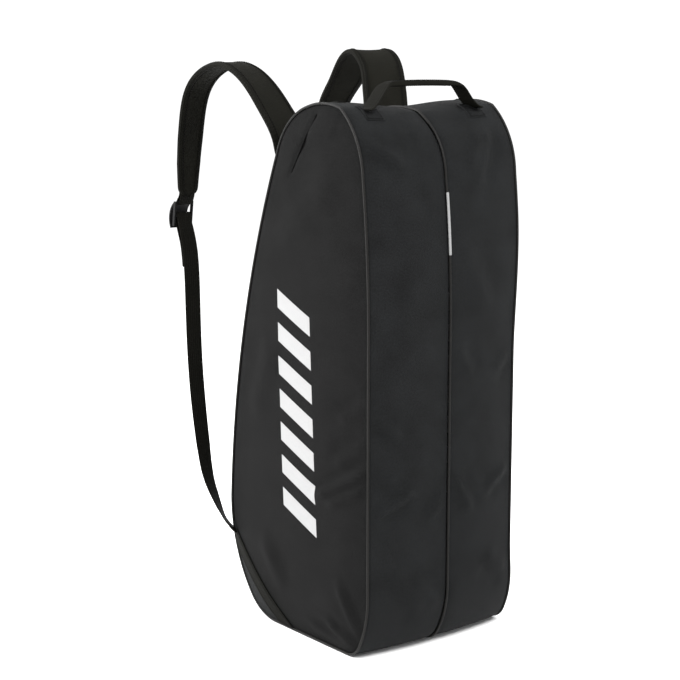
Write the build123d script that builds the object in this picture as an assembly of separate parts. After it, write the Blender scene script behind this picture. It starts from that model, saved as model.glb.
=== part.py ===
from build123d import *
import math
import os

# A racket tournament bag that stands on its flat base.
# Millimetres, +Z up, the front gusset faces -Y and the two side panels face -X and +X.
# Every shape is drawn with y = 0 at the front gusset and z = 0 at the base.
# save() then moves it, so that the origin is the middle of the flat part of the base.

# ---- driving dimensions of the body ----
HEIGHT = 750.0            # base to crown
DEPTH = 326.0             # front gusset to the fullest part of the back
WIDTH = 262.0             # over the two side panels
KNEE_HEIGHT = 165.0       # height of the fullest part of the back
TOE_BOW_RADIUS = 157.5    # the front draws in above its bottom corner
TOE_BOW_TURN = 28.4       # degrees
TOE_RADIUS = 32.4         # front bottom corner, where the flat base starts
HEEL_START = 215.0        # where the flat base ends
HEEL_RADIUS = 80.0        # low part of the back bottom corner
SHOULDER = (205.0, 680.0) # (y, z) of the upper end of the long back curve

# ---- materials' thicknesses and clearances ----
GUSSET_THICK = 3.0
CLOTH_THICK = 1.5
FOAM_THICK = 5.0
BOARD_THICK = 3.0
DIVIDER_THICK = 6.0
PIPING = 5.0              # side of the piping's section
GAP = 0.3                 # between parts of different moving bodies
FOLD_GAP = 1.5            # where a flap folds away from the body

# ---- zips, one to each side, across x = ZIP_X ----
ZIP_X = 106.0
ZIP_SLOT = 10.0           # open width between the gusset edges
ZIP_SPLIT = 1.6           # between the two rows of coils
COIL_WIDTH = 1.9
COIL_INSET = 1.2
TAPE_THICK = 1.0
TAPE_WIDTH = 13.0
ZIP_TOP_Y = 104.0         # upper end of the zip, on the crown
ZIP_LOW_Z = 190.0         # lower end of the zip, on the back

# ---- sliders ----
SLIDER_LENGTH = 14.0
SLIDER_WIDTH = 9.0
SLIDER_PLATE = 1.4
SLIDER_Z = 206.0          # parked just above the lower end
PIN_RADIUS = 0.8
PIN_PLAY = 0.05
PULLER_LENGTH = 24.0

# ---- grab handle ----
HANDLE_Y = 55.0
HANDLE_AXIS_Z = 746.0
HANDLE_FOOT_X = 84.0
HANDLE_BAR_X = 62.0
HANDLE_BAR_Z = 773.0
WEBBING = 25.0

# ---- shoulder straps ----
PAD_WIDTHS = (66.0, 64.0, 58.0, 50.0, 44.0, 31.0)   # evenly spaced from the root to the end
LEFT_TWIST = 12.0         # degrees that a strap's width turns towards the front as it arches
RIGHT_TWIST = -34.0
PAD_THICK = 6.0
WEB_THICK = 2.4
LEFT_PAD = [(-73, 238, 676), (-86, 236, 700), (-96, 252, 733), (-105, 282, 771), (-113, 329, 796),
            (-119, 376, 789), (-123, 410, 762), (-127, 425, 706), (-129, 431, 650), (-130, 433, 603)]
RIGHT_PAD = [(76, 244, 676), (90, 243, 704), (104, 258, 764), (110, 275, 797), (114, 305, 814),
             (118, 338, 805), (123, 376, 770), (126, 407, 738), (129, 426, 690), (130, 433, 603)]
LOWER_WEB = [(131, 438, 560), (131, 428, 523), (131, 422, 448), (131, 415, 326), (131, 397, 221),
             (131, 364, 150), (131, 338, 124)]
WEB_TAIL = [(131, 441.5, 550), (131, 435, 533), (131, 430.4, 512), (131, 428.6, 499)]
LOCK_PIVOT = (446.0, 574.0)   # (y, z) of the bar that the webbing runs round
STRAP_ROOT = (48.0, 225.0, 635.0)
STRAP_FOOT = (131.0, 321.0, 114.0)

# ---- derived ----
SIDE_X = WIDTH / 2
GUSSET_EDGE = SIDE_X - PIPING + 0.5
PANEL_INSET = PIPING + GAP
COIL_BASE = GUSSET_THICK + 0.2
SLOT_IN = ZIP_X - ZIP_SLOT / 2
SLOT_OUT = ZIP_X + ZIP_SLOT / 2
TOE_BOW = math.radians(TOE_BOW_TURN)
BASE_START = TOE_BOW_RADIUS * (1 - math.cos(TOE_BOW)) + TOE_RADIUS * math.cos(TOE_BOW)
TOE_BOW_Z = TOE_RADIUS * (1 - math.sin(TOE_BOW)) + TOE_BOW_RADIUS * math.sin(TOE_BOW)
BASE_MIDDLE = (BASE_START + HEEL_START) / 2
FAR = 1000.0

os.makedirs("parts", exist_ok=True)


def save(name, shape):
    """Move a finished part into the bag's frame and write it."""
    placed = Location((0, -BASE_MIDDLE, 0)) * shape
    placed.label = name
    export_step(placed, "parts/" + name + ".step")


def save_pair(name, shape):
    """Write a part of the -X side, and its mirror image for the +X side."""
    save("left_" + name, shape)
    save("right_" + name, mirror(shape, about=Plane.YZ))


def save_group(name, shape):
    """Write a small part of the -X side and its mirror image together, as two separate solids."""
    save(name, Compound(children=[shape.solid(), mirror(shape, about=Plane.YZ).solid()]))


def block(x, y, z):
    """A box from three (low, high) pairs."""
    size = (x[1] - x[0], y[1] - y[0], z[1] - z[0])
    centre = ((x[0] + x[1]) / 2, (y[0] + y[1]) / 2, (z[0] + z[1]) / 2)
    return Location(centre) * Box(*size)


# ---- the side profile, drawn as (y, z) ----
def back_curve():
    """The long even curve of the back, which the zips follow."""
    return ThreePointArc((DEPTH, KNEE_HEIGHT), (287, 435), SHOULDER)


def profile_edges():
    """The bag seen from the side, anticlockwise: base, round heel, curved back, crown and front."""
    rise = DEPTH - HEEL_START
    lift = KNEE_HEIGHT - HEEL_RADIUS
    calf_radius = (rise ** 2 + lift ** 2 - HEEL_RADIUS ** 2) / (2 * (rise - HEEL_RADIUS))
    turn = math.degrees(math.atan2(lift, calf_radius - rise))
    return [
        Line((BASE_START, 0), (HEEL_START, 0)),
        CenterArc((HEEL_START, HEEL_RADIUS), HEEL_RADIUS, -90, 90 - turn),
        CenterArc((DEPTH - calf_radius, KNEE_HEIGHT), calf_radius, -turn, turn),
        back_curve(),
        ThreePointArc(SHOULDER, (179, 720), (133, 745)),
        ThreePointArc((133, 745), (98, HEIGHT), (60, 744)),
        ThreePointArc((60, 744), (28, 707), (12, 652)),
        ThreePointArc((12, 652), (3.6, 560), (0, 420)),
        Line((0, 420), (0, TOE_BOW_Z)),
        CenterArc((TOE_BOW_RADIUS, TOE_BOW_Z), TOE_BOW_RADIUS, 180, TOE_BOW_TURN),
        CenterArc((BASE_START, TOE_RADIUS), TOE_RADIUS, 180 + TOE_BOW_TURN, 90 - TOE_BOW_TURN),
    ]


def outward(edge, t):
    """Unit normal out of the bag at a fraction of an edge."""
    along = edge % t
    return Vector(along.Y, -along.X)


def profile(inset):
    """The side profile as a face, drawn in by inset all the way round."""
    edges = profile_edges()
    moved = []
    for i, edge in enumerate(edges):
        before = edges[i - 1]
        after = edges[(i + 1) % len(edges)]
        start = edge @ 0 - (outward(before, 1) + outward(edge, 0)).normalized() * inset
        end = edge @ 1 - (outward(edge, 1) + outward(after, 0)).normalized() * inset
        if edge.geom_type == GeomType.LINE:
            moved.append(Line(start, end))
        else:
            moved.append(ThreePointArc(start, edge @ 0.5 - outward(edge, 0.5) * inset, end))
    return make_face(moved)


BACK_CENTRE = back_curve().arc_center
BACK_RADIUS = back_curve().radius


def slab(inset, x0, x1):
    """The side profile, drawn in by inset, as a solid from x0 to x1."""
    return extrude(Plane.YZ.offset(x0) * profile(inset), amount=x1 - x0)


def band(inset, thick, x0, x1):
    """A hoop that follows the side profile."""
    return slab(inset, x0, x1) - slab(inset + thick, x0 - 1, x1 + 1)


def on_back(height):
    """Angle of the back curve, in degrees above horizontal, at a height."""
    return math.degrees(math.asin((height - BACK_CENTRE.Y) / BACK_RADIUS))


def back_frame(height, x):
    """A frame on the back curve: x across, y along the outward normal, z up along the curve."""
    angle = math.radians(on_back(height))
    normal = Vector(0, math.cos(angle), math.sin(angle))
    point = Vector(x, BACK_CENTRE.X, BACK_CENTRE.Y) + normal * BACK_RADIUS
    return Plane(origin=point, x_dir=(1, 0, 0), z_dir=Vector(1, 0, 0).cross(normal))


# ---- zones that cut the hoops into panels ----
ALL_X = (-FAR, FAR)
FRONT_ZONE = block(ALL_X, (-5, 42), (24, 718))
TOP_ZONE = block(ALL_X, (-5, 400), (718.4, 800))
BACK_ZONE = block(ALL_X, (150, 400), (60, 718))
BASE_ZONE = block(ALL_X, (-5, 400), (-5, 59.6)) - block(ALL_X, (-6, 42), (23.6, 70))

# ---- the fold line of a flap: from the zip's upper end to the front edge ----
FOLD_TOP = Vector(-SIDE_X, ZIP_TOP_Y, 748)
FOLD_LOW = Vector(-SIDE_X, 6, ZIP_LOW_Z)


def behind_fold(margin):
    """Everything behind the fold line and above the zip's lower end, less a margin."""
    lean = (FOLD_TOP.Y - FOLD_LOW.Y) / (FOLD_TOP.Z - FOLD_LOW.Z)
    low = ZIP_LOW_Z + margin
    corner = FOLD_LOW.Y + margin
    shape = Polyline((corner, low), (FAR, low), (FAR, FAR), (corner + lean * (FAR - low), FAR), close=True)
    return extrude(Plane.YZ.offset(-FAR) * make_face(shape), amount=2 * FAR)


FLAP_ZONE = behind_fold(FOLD_GAP)
BODY_SIDE_ZONE = behind_fold(0)
BELOW_FLAP = block(ALL_X, (-5, 400), (-5, ZIP_LOW_Z - 0.2))
ABOVE_LOW_CUT = block(ALL_X, (-5, 400), (ZIP_LOW_Z, 800))


# ---- body ----
def make_gussets():
    """Front, top, back and base panels, each in two halves that meet at the centre piping."""
    seam = PIPING / 2 + 0.1
    hoop = band(0, GUSSET_THICK, -GUSSET_EDGE, -seam)
    beside_zip = block((-GUSSET_EDGE - 1, -SLOT_IN), (ZIP_TOP_Y, 400), (ZIP_LOW_Z - 4, 800))
    save_pair("front_gusset", hoop & FRONT_ZONE)
    save_pair("top_gusset", (hoop & TOP_ZONE) - beside_zip)
    save_pair("back_gusset", (hoop & BACK_ZONE) - beside_zip)
    save_pair("base_gusset", hoop & BASE_ZONE)


def make_inner():
    """The padded divider between the compartments and the stiff board in the base."""
    board = block((-120, 120), (51, 208), (GUSSET_THICK + 0.2, GUSSET_THICK + 0.2 + BOARD_THICK))
    pocket = block((-FAR, FAR), (50.5, 208.5), (-1, GUSSET_THICK + 0.5 + BOARD_THICK))
    divider = slab(GUSSET_THICK + 0.2, -DIVIDER_THICK / 2, DIVIDER_THICK / 2) - pocket
    save("base_board", board)
    save("centre_divider", divider)


def make_piping():
    """Piping round both side panels and down the middle, and the reflective strip on the front."""
    half = PIPING / 2
    save("centre_piping", band(0, GUSSET_THICK, -half, half))
    strip = band(-0.9, 0.7, -half, half) & block(ALL_X, (-5, 40), (547, 631))
    save("reflective_strip", strip)
    side = band(0, PIPING, -SIDE_X - 1, -SIDE_X + PIPING - 1)
    save_pair("body_piping", side - BODY_SIDE_ZONE)
    save_pair("flap_piping", side & FLAP_ZONE)


def make_side_panels():
    """Each side panel is a low part and a front corner that stay, and a flap that opens."""
    cloth = slab(PANEL_INSET, -SIDE_X, -SIDE_X + CLOTH_THICK)
    foam_x = -SIDE_X + CLOTH_THICK + 0.2
    foam = slab(PANEL_INSET + 1, foam_x, foam_x + FOAM_THICK)
    whole = slab(PANEL_INSET, -SIDE_X, foam_x + FOAM_THICK)
    save_pair("side_panel_low", whole & BELOW_FLAP)
    save_pair("side_panel_front", (whole & ABOVE_LOW_CUT) - BODY_SIDE_ZONE)
    save_pair("flap_cloth", cloth & FLAP_ZONE)
    save_pair("flap_foam", foam & FLAP_ZONE)
    under_chord = Polyline((165, 6), (305, 121), (400, 121), (400, -5), (165, -5), close=True)
    under_chord = extrude(Plane.YZ.offset(-FAR) * make_face(under_chord), amount=2 * FAR)
    save_group("heel_patches", slab(PANEL_INSET, -SIDE_X - 1.2, -SIDE_X - 0.1) & under_chord)


# ---- zips ----
def make_zips():
    """Tape and coil on the body's side and on the flap's side, an end tab and a lower stop."""
    above = block(ALL_X, (ZIP_TOP_Y, 400), (ZIP_LOW_Z, 800))
    inner = -ZIP_X + ZIP_SPLIT / 2
    outer = -ZIP_X - ZIP_SPLIT / 2
    save_pair("zip_tape_body", band(COIL_BASE, TAPE_THICK, inner, inner + TAPE_WIDTH) & above)
    save_pair("zip_tape_flap", band(COIL_BASE, TAPE_THICK, outer - TAPE_WIDTH, outer) & FLAP_ZONE)
    coil_thick = COIL_BASE - COIL_INSET
    save_pair("zip_coil_body", band(COIL_INSET, coil_thick, inner, inner + COIL_WIDTH) & above)
    save_pair("zip_coil_flap", band(COIL_INSET, coil_thick, outer - COIL_WIDTH, outer) & FLAP_ZONE)
    save_pair("flap_gusset", band(0, GUSSET_THICK, -GUSSET_EDGE, -SLOT_OUT) & FLAP_ZONE)
    tab_x = (-SLOT_OUT - 3, -SLOT_IN + 3)
    tab = band(-1.3, 1.2, *tab_x) & block(ALL_X, (ZIP_TOP_Y - 16, ZIP_TOP_Y - 0.4), (700, 800))
    save_group("zip_end_tabs", tab)
    stop = band(-1.3, 1.2, *tab_x) & block(ALL_X, (200, 400), (ZIP_LOW_Z - 18, ZIP_LOW_Z - 4.5))
    save_group("zip_low_stops", stop)


def make_sliders():
    """A slider with two plates joined by a thin wedge, with a pin for its puller."""
    frame = back_frame(SLIDER_Z, -ZIP_X)
    top_y = -COIL_INSET + 1.5
    low_y = -COIL_BASE - TAPE_THICK - 1.0
    size_z = (-SLIDER_LENGTH / 2, SLIDER_LENGTH / 2)
    size_x = (-SLIDER_WIDTH / 2, SLIDER_WIDTH / 2)
    top = block(size_x, (top_y, top_y + SLIDER_PLATE), size_z)
    low = block(size_x, (low_y - SLIDER_PLATE, low_y), size_z)
    wedge = block((-0.4, 0.4), (low_y, top_y), (2, SLIDER_LENGTH / 2))
    pin_y = top_y + SLIDER_PLATE + 2.2
    slider = top + low + wedge
    for x in (-2.6, 1.6):
        slider += block((x, x + 1.0), (top_y + SLIDER_PLATE, pin_y + 1.2), (-2, 2))
    pin = Rot(0, 90, 0) * Cylinder(PIN_RADIUS, 5.2)
    slider += Location((0, pin_y, 0)) * pin
    puller = block((-1.3, 1.3), (pin_y - 0.9, pin_y + 0.9), (-8, 0))
    puller += block((-3.5, 3.5), (pin_y - 0.9, pin_y + 0.9), (-PULLER_LENGTH, -8))
    eye = Location((0, pin_y, 0)) * (Rot(0, 90, 0) * Cylinder(1.7, 2.6))
    bore = Location((0, pin_y, 0)) * (Rot(0, 90, 0) * Cylinder(PIN_RADIUS + PIN_PLAY, 6))
    puller = puller + eye - bore
    save_pair("zip_slider", frame.location * slider)
    save_pair("zip_puller", frame.location * puller)


# ---- grab handle ----
def make_handle():
    """A loop of webbing with a stitched grip, standing on two patches on the crown."""
    thick = 3.0
    foot_z = HANDLE_AXIS_Z + 1
    centre = [(-HANDLE_FOOT_X, foot_z), (-HANDLE_BAR_X, HANDLE_BAR_Z), (HANDLE_BAR_X, HANDLE_BAR_Z),
              (HANDLE_FOOT_X, foot_z)]
    loop = offset(Polyline(*centre), amount=thick / 2, side=Side.BOTH)
    loop = extrude(Plane.XZ.offset(-HANDLE_Y) * make_face(loop.edges()), amount=WEBBING / 2, both=True)
    half = WEBBING / 2
    taper = Polyline((-3, foot_z - 9), (3, foot_z - 9), (3, foot_z), (half, HANDLE_BAR_Z - 6),
                     (half, HANDLE_BAR_Z + 9), (-half, HANDLE_BAR_Z + 9), (-half, HANDLE_BAR_Z - 6),
                     (-3, foot_z), close=True)
    taper = extrude(Plane.YZ.offset(-FAR) * Location((HANDLE_Y, 0, 0)) * make_face(taper), amount=2 * FAR)
    keep_above = block(ALL_X, (0, 100), (HANDLE_AXIS_Z - 2, 800))
    save("handle_webbing", loop & taper & keep_above)
    grip_x = HANDLE_BAR_X - 6
    grip = block((-grip_x, grip_x), (HANDLE_Y - 10, HANDLE_Y + 10), (HANDLE_BAR_Z - 4.6, HANDLE_BAR_Z - 1.6))
    save("handle_grip", grip)
    foot = band(-1.6, 1.3, -HANDLE_FOOT_X - 20, -HANDLE_FOOT_X + 20)
    save_group("handle_patches", foot & block(ALL_X, (HANDLE_Y - 14, HANDLE_Y + 14), (700, 800)))


# ---- shoulder straps ----
def width_at(widths, t):
    """The width at a fraction of a band, between evenly spaced widths."""
    place = t * (len(widths) - 1)
    i = min(int(place), len(widths) - 2)
    return widths[i] + (widths[i + 1] - widths[i]) * (place - i)


def ribbon(points, widths, thick, steps, twist=0.0):
    """A flat band along a smooth route. Its width lies across x, turned by the twist in its arch."""
    route = Spline(*points) if len(points) > 2 else Line(*points)
    sections = []
    for i in range(steps + 1):
        t = i / steps
        along = route % t
        turn = math.radians(twist) * math.sin(math.pi * min(1.0, t + 0.12)) ** 0.6
        side = Vector(math.cos(turn), math.sin(turn), 0)
        across = (side - along * side.dot(along)).normalized()
        normal = along.cross(across)
        half = across * width_at(widths, t) / 2
        deep = normal * thick / 2
        middle = route @ t
        corners = [middle - half - deep, middle + half - deep, middle + half + deep, middle - half + deep]
        sections.append(Wire.make_polygon(corners, close=True))
    return Solid.make_loft(sections, ruled=True)


def ladder_lock():
    """The strap adjuster: two rails, a top bar, a bar for the webbing and a bowed lever over them."""
    rails = Part()
    for x in (-16, 13.5):
        rails += block((x, x + 2.5), (-2.5, 2.5), (-16, 21))
    top = block((-16, 16), (-2, 2), (18, 21))
    round_bar = Rot(0, 90, 0) * Cylinder(2.2, 31)
    outer = ThreePointArc((1.5, 21), (13.5, 4), (9, -21))
    inner = ThreePointArc((1.5, 18), (11, 4), (7, -20))
    bow = make_face([outer, Line(outer @ 1, inner @ 1), inner, Line(inner @ 0, outer @ 0)])
    lever = extrude(Plane.YZ.offset(-15) * bow, amount=30)
    return rails + top + round_bar + lever


def make_strap(side, pad_route, twist):
    """One shoulder strap: root patch and tab, pad, loop, ladder lock, lower webbing and its tail."""
    sign = -1 if side == "left" else 1
    root_x = sign * STRAP_ROOT[0]
    name = side + "_"
    patch = band(-1.6, 1.5, root_x - 36, root_x + 36) & block(ALL_X, (150, 400), (600, 660))
    save(name + "strap_root_patch", patch)
    surface = BACK_CENTRE.X + math.sqrt(BACK_RADIUS ** 2 - (640 - BACK_CENTRE.Y) ** 2)
    start = pad_route[0]
    tab_end = (start[0] - sign * 4, start[1] - 1, start[2] - 6)
    tab_route = [(root_x, surface + 5.2, 640), (sign * 60, 235, 656), tab_end]
    save(name + "strap_root_tab", ribbon(tab_route, (60, 62), 4.6, 6) - slab(-1.8, -SIDE_X, SIDE_X))
    save(name + "shoulder_pad", ribbon(pad_route, PAD_WIDTHS, PAD_THICK, 30, twist))
    end = pad_route[-1]
    loop_route = [(end[0], end[1] + 0.7, end[2] - 1), (end[0], end[1] + 2, end[2] - 7)]
    save(name + "pad_end_loop", ribbon(loop_route, (27, 27), 3, 1))
    lock = Location((sign * SIDE_X, *LOCK_PIVOT)) * (Rot(8, 0, 0) * ladder_lock())
    save(name + "ladder_lock", lock)
    web = [(sign * x, y, z) for x, y, z in LOWER_WEB]
    tail = [(sign * x, y, z) for x, y, z in WEB_TAIL]
    save(name + "strap_webbing", ribbon(web, (WEBBING, WEBBING), WEB_THICK, 16))
    save(name + "webbing_tail", ribbon(tail, (WEBBING, WEBBING), 1.6, 6))


def make_strap_feet():
    """The webbing tabs that come out of the heel seams and hold the straps' lower ends."""
    foot = [(-SIDE_X, 321.5, 111), (-SIDE_X, 335, 121)]
    save_group("strap_foot_tabs", ribbon(foot, (WEBBING, WEBBING), WEB_THICK, 1))


make_gussets()
make_inner()
make_piping()
make_side_panels()
make_zips()
make_sliders()
make_handle()
make_strap("left", LEFT_PAD, LEFT_TWIST)
make_strap("right", RIGHT_PAD, RIGHT_TWIST)
make_strap_feet()
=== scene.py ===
import math

import bmesh
import bpy
import numpy as np
from mathutils import Matrix, Vector


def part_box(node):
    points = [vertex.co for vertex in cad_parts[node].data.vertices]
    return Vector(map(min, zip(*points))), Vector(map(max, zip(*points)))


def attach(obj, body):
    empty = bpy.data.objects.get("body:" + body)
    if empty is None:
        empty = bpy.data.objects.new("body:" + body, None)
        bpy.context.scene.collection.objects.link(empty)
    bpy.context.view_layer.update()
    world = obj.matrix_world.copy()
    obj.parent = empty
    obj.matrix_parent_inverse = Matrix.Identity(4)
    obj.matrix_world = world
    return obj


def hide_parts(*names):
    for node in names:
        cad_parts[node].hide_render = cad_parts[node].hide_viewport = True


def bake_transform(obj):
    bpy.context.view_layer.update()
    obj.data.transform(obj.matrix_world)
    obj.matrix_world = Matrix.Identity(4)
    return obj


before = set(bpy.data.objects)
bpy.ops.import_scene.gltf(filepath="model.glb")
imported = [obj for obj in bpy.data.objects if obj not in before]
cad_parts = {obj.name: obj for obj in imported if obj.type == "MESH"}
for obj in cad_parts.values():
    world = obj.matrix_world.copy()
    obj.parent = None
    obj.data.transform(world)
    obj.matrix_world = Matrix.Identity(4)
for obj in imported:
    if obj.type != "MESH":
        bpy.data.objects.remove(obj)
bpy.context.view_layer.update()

MM = 0.001
SIDES = {"left": -1.0, "right": 1.0}

# ---- places read from the frame, in metres ----
FRONT_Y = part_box("left_front_gusset")[0][1]
FLAP_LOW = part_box("left_flap_cloth")[0][2]
ZIP_TOP_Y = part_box("zip_end_tabs")[1][1]


# ---- The side profile: the frame's own curves, as (y, z) in mm from the front and the base ----
DEPTH, KNEE, HEEL_Y, HEEL_R = 326.0, 165.0, 215.0, 80.0
BOW_R, BOW_TURN, TOE_R = 157.5, 28.4, 32.4
SHOULDER = (205, 680)


def unit(vectors):
    return vectors / np.maximum(np.linalg.norm(vectors, axis=-1), 1e-12)[..., None]


def travelled(path):
    """The distance along a path to each of its points."""
    return np.concatenate([[0], np.cumsum(np.linalg.norm(np.diff(path, axis=0), axis=1))])


def arc_through(a, m, b, count):
    """Points of the circle arc from a through m to b, anticlockwise."""
    a, m, b = (np.array(p, float) for p in (a, m, b))
    d = 2 * (a[0] * (m[1] - b[1]) + m[0] * (b[1] - a[1]) + b[0] * (a[1] - m[1]))
    sa, sm, sb = (p @ p for p in (a, m, b))
    centre = np.array([
        (sa * (m[1] - b[1]) + sm * (b[1] - a[1]) + sb * (a[1] - m[1])) / d,
        (sa * (b[0] - m[0]) + sm * (a[0] - b[0]) + sb * (m[0] - a[0])) / d,
    ])
    first, last = (math.degrees(math.atan2(p[1] - centre[1], p[0] - centre[0])) for p in (a, b))
    return arc_about(centre, np.linalg.norm(a - centre), first, (last - first) % 360, count)


def arc_about(centre, radius, start, turn, count):
    """Points of an arc by its centre, with its angles in degrees."""
    angles = np.radians(start + turn * np.linspace(0, 1, count))
    return np.array(centre) + radius * np.stack([np.cos(angles), np.sin(angles)], 1)


def profile_loop():
    """The closed outline, evenly spaced, with its outward normals and its length."""
    rise, up = DEPTH - HEEL_Y, KNEE - HEEL_R
    calf = (rise ** 2 + up ** 2 - HEEL_R ** 2) / (2 * (rise - HEEL_R))
    turn = math.degrees(math.atan2(up, calf - rise))
    bow = math.radians(BOW_TURN)
    toe_y = BOW_R * (1 - math.cos(bow)) + TOE_R * math.cos(bow)
    toe_z = TOE_R * (1 - math.sin(bow)) + BOW_R * math.sin(bow)
    runs = [
        np.linspace((toe_y, 0), (HEEL_Y, 0), 60),
        arc_about((HEEL_Y, HEEL_R), HEEL_R, -90, 90 - turn, 40),
        arc_about((DEPTH - calf, KNEE), calf, -turn, turn, 60),
        arc_through((DEPTH, KNEE), (287, 435), SHOULDER, 200),
        arc_through(SHOULDER, (179, 720), (133, 745), 50),
        arc_through((133, 745), (98, 750), (60, 744), 40),
        arc_through((60, 744), (28, 707), (12, 652), 60),
        arc_through((12, 652), (3.6, 560), (0, 420), 90),
        np.linspace((0, 420), (0, toe_z), 120),
        arc_about((BOW_R, toe_z), BOW_R, 180, BOW_TURN, 30),
        arc_about((toe_y, TOE_R), TOE_R, 180 + BOW_TURN, 90 - BOW_TURN, 24),
    ]
    points = np.concatenate([run[:-1] for run in runs])
    closed = np.concatenate([points, points[:1]])
    along = travelled(closed)
    even = np.linspace(0, along[-1], int(along[-1] / 2), endpoint=False)
    loop = np.stack([np.interp(even, along, closed[:, k]) for k in (0, 1)], 1)
    tangent = np.roll(loop, -4, 0) - np.roll(loop, 4, 0)
    return loop, unit(np.stack([tangent[:, 1], -tangent[:, 0]], 1)), along[-1]


LOOP, LOOP_NORMAL, LOOP_LENGTH = profile_loop()


def loop_at(s):
    """Outline points and outward normals at distances s along the loop, in mm."""
    place = (np.asarray(s, float) % LOOP_LENGTH) / LOOP_LENGTH * len(LOOP)
    low = np.floor(place).astype(int) % len(LOOP)
    high = (low + 1) % len(LOOP)
    share = (place - np.floor(place))[..., None]
    point = LOOP[low] * (1 - share) + LOOP[high] * share
    return point, unit(LOOP_NORMAL[low] * (1 - share) + LOOP_NORMAL[high] * share)


def s_near(y, z):
    """Distance along the loop of the outline point nearest to (y, z)."""
    return np.argmin(((LOOP - (y, z)) ** 2).sum(1)) / len(LOOP) * LOOP_LENGTH


def ring(s, inset, x):
    """Points (x, y, z) in mm over the outline at distances s, drawn in by inset, at a given x."""
    s, inset, x = np.broadcast_arrays(np.asarray(s, float), inset, x)
    point, normal = loop_at(s)
    point = point - normal * inset[..., None]
    return np.concatenate([x[..., None], point], -1)


def ring_normal(s):
    normal = loop_at(s)[1]
    return np.concatenate([np.zeros(normal.shape[:-1] + (1,)), normal], -1)


# Places on the loop, which runs along the base, heel, back, crown, front and toe
ZIP_Y = (ZIP_TOP_Y - FRONT_Y) / MM
ZIP_Z = FLAP_LOW / MM
S_TOE = s_near(22, 13) - LOOP_LENGTH
S_HEEL = s_near(271, 24)
S_BACK_LOW = s_near(295, 60)
S_ZIP_LOW = s_near(325, ZIP_Z)
S_BACK_SEAM = s_near(182, 718)
S_BACK_CORNER = s_near(190, 706)
S_ZIP_TOP = s_near(ZIP_Y, 748)
S_FRONT_CORNER = s_near(24, 697)

FOLD_LOW, FOLD_TOP = (6.0, ZIP_Z), (ZIP_Y, 748.0)
PIPING_R, PIPING_X = 1.8, 129.6
SLOT_IN, SLOT_OUT = 101.0, 111.0


# How the filling pulls and pushes the cloth, in mm
HALF_WIDTH = 131.0
CROWN_DIP, FRONT_BOW = 8.0, 13.5
SHOULDER_PUSH, FOOT_PUSH = 10.0, 7.0


def ease(t):
    """A smooth step from 0 to 1."""
    t = np.clip(t, 0, 1)
    return t * t * (3 - 2 * t)


def crown_sag(points):
    """The crown dips between the side panels: how far each point (x, y, z) in mm drops."""
    x, y, z = points[..., 0], points[..., 1], points[..., 2]
    across = np.cos(np.clip(np.abs(x) / HALF_WIDTH, 0, 1) * math.pi / 2) ** 1.5
    return CROWN_DIP * across * np.exp(-((y - 95) / 75) ** 2) * np.clip((z - 650) / 80, 0, 1)


def lift(points):
    """Points in mm from the front and the base, to metres in the frame, with the crown's dip and the front's
    bow between the side panels."""
    points = np.array(points, float)
    x, y = points[..., 0].copy(), points[..., 1].copy()
    points[..., 2] -= crown_sag(points)
    points[..., 1] -= FRONT_BOW * (1 - np.minimum(np.abs(x) / HALF_WIDTH, 1) ** 2) * ease(1 - y / 80)
    return points * MM + np.array([0, FRONT_Y, 0])


def spread(obj):
    """Widens a piece where it lies on the +X side's shoulder or foot, which the filling pushes out."""
    points = np.empty(len(obj.data.vertices) * 3)
    obj.data.vertices.foreach_get("co", points)
    x, y, z = points.reshape(-1, 3).T / MM
    push = SHOULDER_PUSH * ease((z - 400) / 200) + FOOT_PUSH * ease((130 - z) / 130)
    x += np.clip(x / HALF_WIDTH, 0, 1) * push * ease(1 - (y - FRONT_Y / MM) / 240)
    obj.data.vertices.foreach_set("co", np.stack([x, y, z], 1).ravel() * MM)
    obj.data.update()


# ---- Mesh helpers ----
def on_cloth(across, along):
    """Places on the flat cloth, in metres, from distances across and along it in mm."""
    return np.stack(np.broadcast_arrays(across, along, 0.0), -1) * MM


def new_mesh(name, verts, faces, rest):
    """A smooth mesh. rest holds each vertex's place on the flat cloth, in metres, for the weave."""
    mesh = bpy.data.meshes.new(name)
    mesh.from_pydata(np.asarray(verts, float).tolist(), [], faces)
    layer = mesh.attributes.new("cloth", "FLOAT_VECTOR", "POINT")
    layer.data.foreach_set("vector", np.asarray(rest, np.float32).ravel())
    mesh.polygons.foreach_set("use_smooth", [True] * len(mesh.polygons))
    obj = bpy.data.objects.new(name, mesh)
    bpy.context.scene.collection.objects.link(obj)
    return obj


def grid_faces(rows, cols, closed_rows=False, closed_cols=False):
    """Quads over a grid of vertices numbered row by row, as an array."""
    i, j = np.meshgrid(np.arange(rows if closed_rows else rows - 1),
                       np.arange(cols if closed_cols else cols - 1), indexing="ij")
    ii, jj = (i + 1) % rows, (j + 1) % cols
    return np.stack([i * cols + j, i * cols + jj, ii * cols + jj, ii * cols + j], -1).reshape(-1, 4)


def grid_normals(points):
    return unit(np.cross(np.gradient(points, axis=1), np.gradient(points, axis=0)))


def facing(points, outward):
    """Unit normals of a grid, turned to the outward side."""
    normal = grid_normals(points)
    return normal if (normal * outward).sum() > 0 else -normal


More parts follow.
